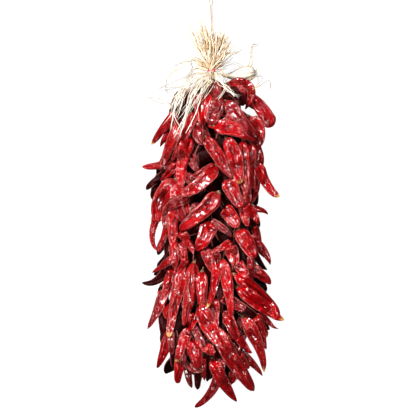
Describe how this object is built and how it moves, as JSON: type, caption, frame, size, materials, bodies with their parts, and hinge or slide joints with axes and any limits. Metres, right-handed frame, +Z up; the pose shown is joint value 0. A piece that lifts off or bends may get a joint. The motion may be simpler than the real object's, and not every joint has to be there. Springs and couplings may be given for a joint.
{
  "type": "string of dried chillies",
  "caption": "Long hanging bundle of dried red chilli pods tied on a string, with a straw tuft and skirt, a garlic bulb and a twine hanging loop, lying on its back.",
  "frame": {"origin": "middle of the footprint of the bundle and its straw, on the surface that it lies on", "axes": "+Z up, out of the front side of the bundle; the string runs along Y, straw tuft at +Y and lowest pods at -Y; +X is the right side seen from above with the tuft up"},
  "size_m": [0.3838, 1.1539, 0.1933],
  "materials": {
    "chilli_skin": "glossy, wrinkled dried skin",
    "straw": "dry pale straw",
    "thread": "dark red thread",
    "garlic_skin": "papery cream skin",
    "twine": "rough grey-brown twine"
  },
  "bodies": {
    "root": {"chilli_bundle": "chilli_skin", "raffia_tuft": "straw", "raffia_skirt": "straw", "tie_band": "thread", "garlic_bulb": "garlic_skin", "hanging_loop": "twine"}
  },
  "joints": []
}
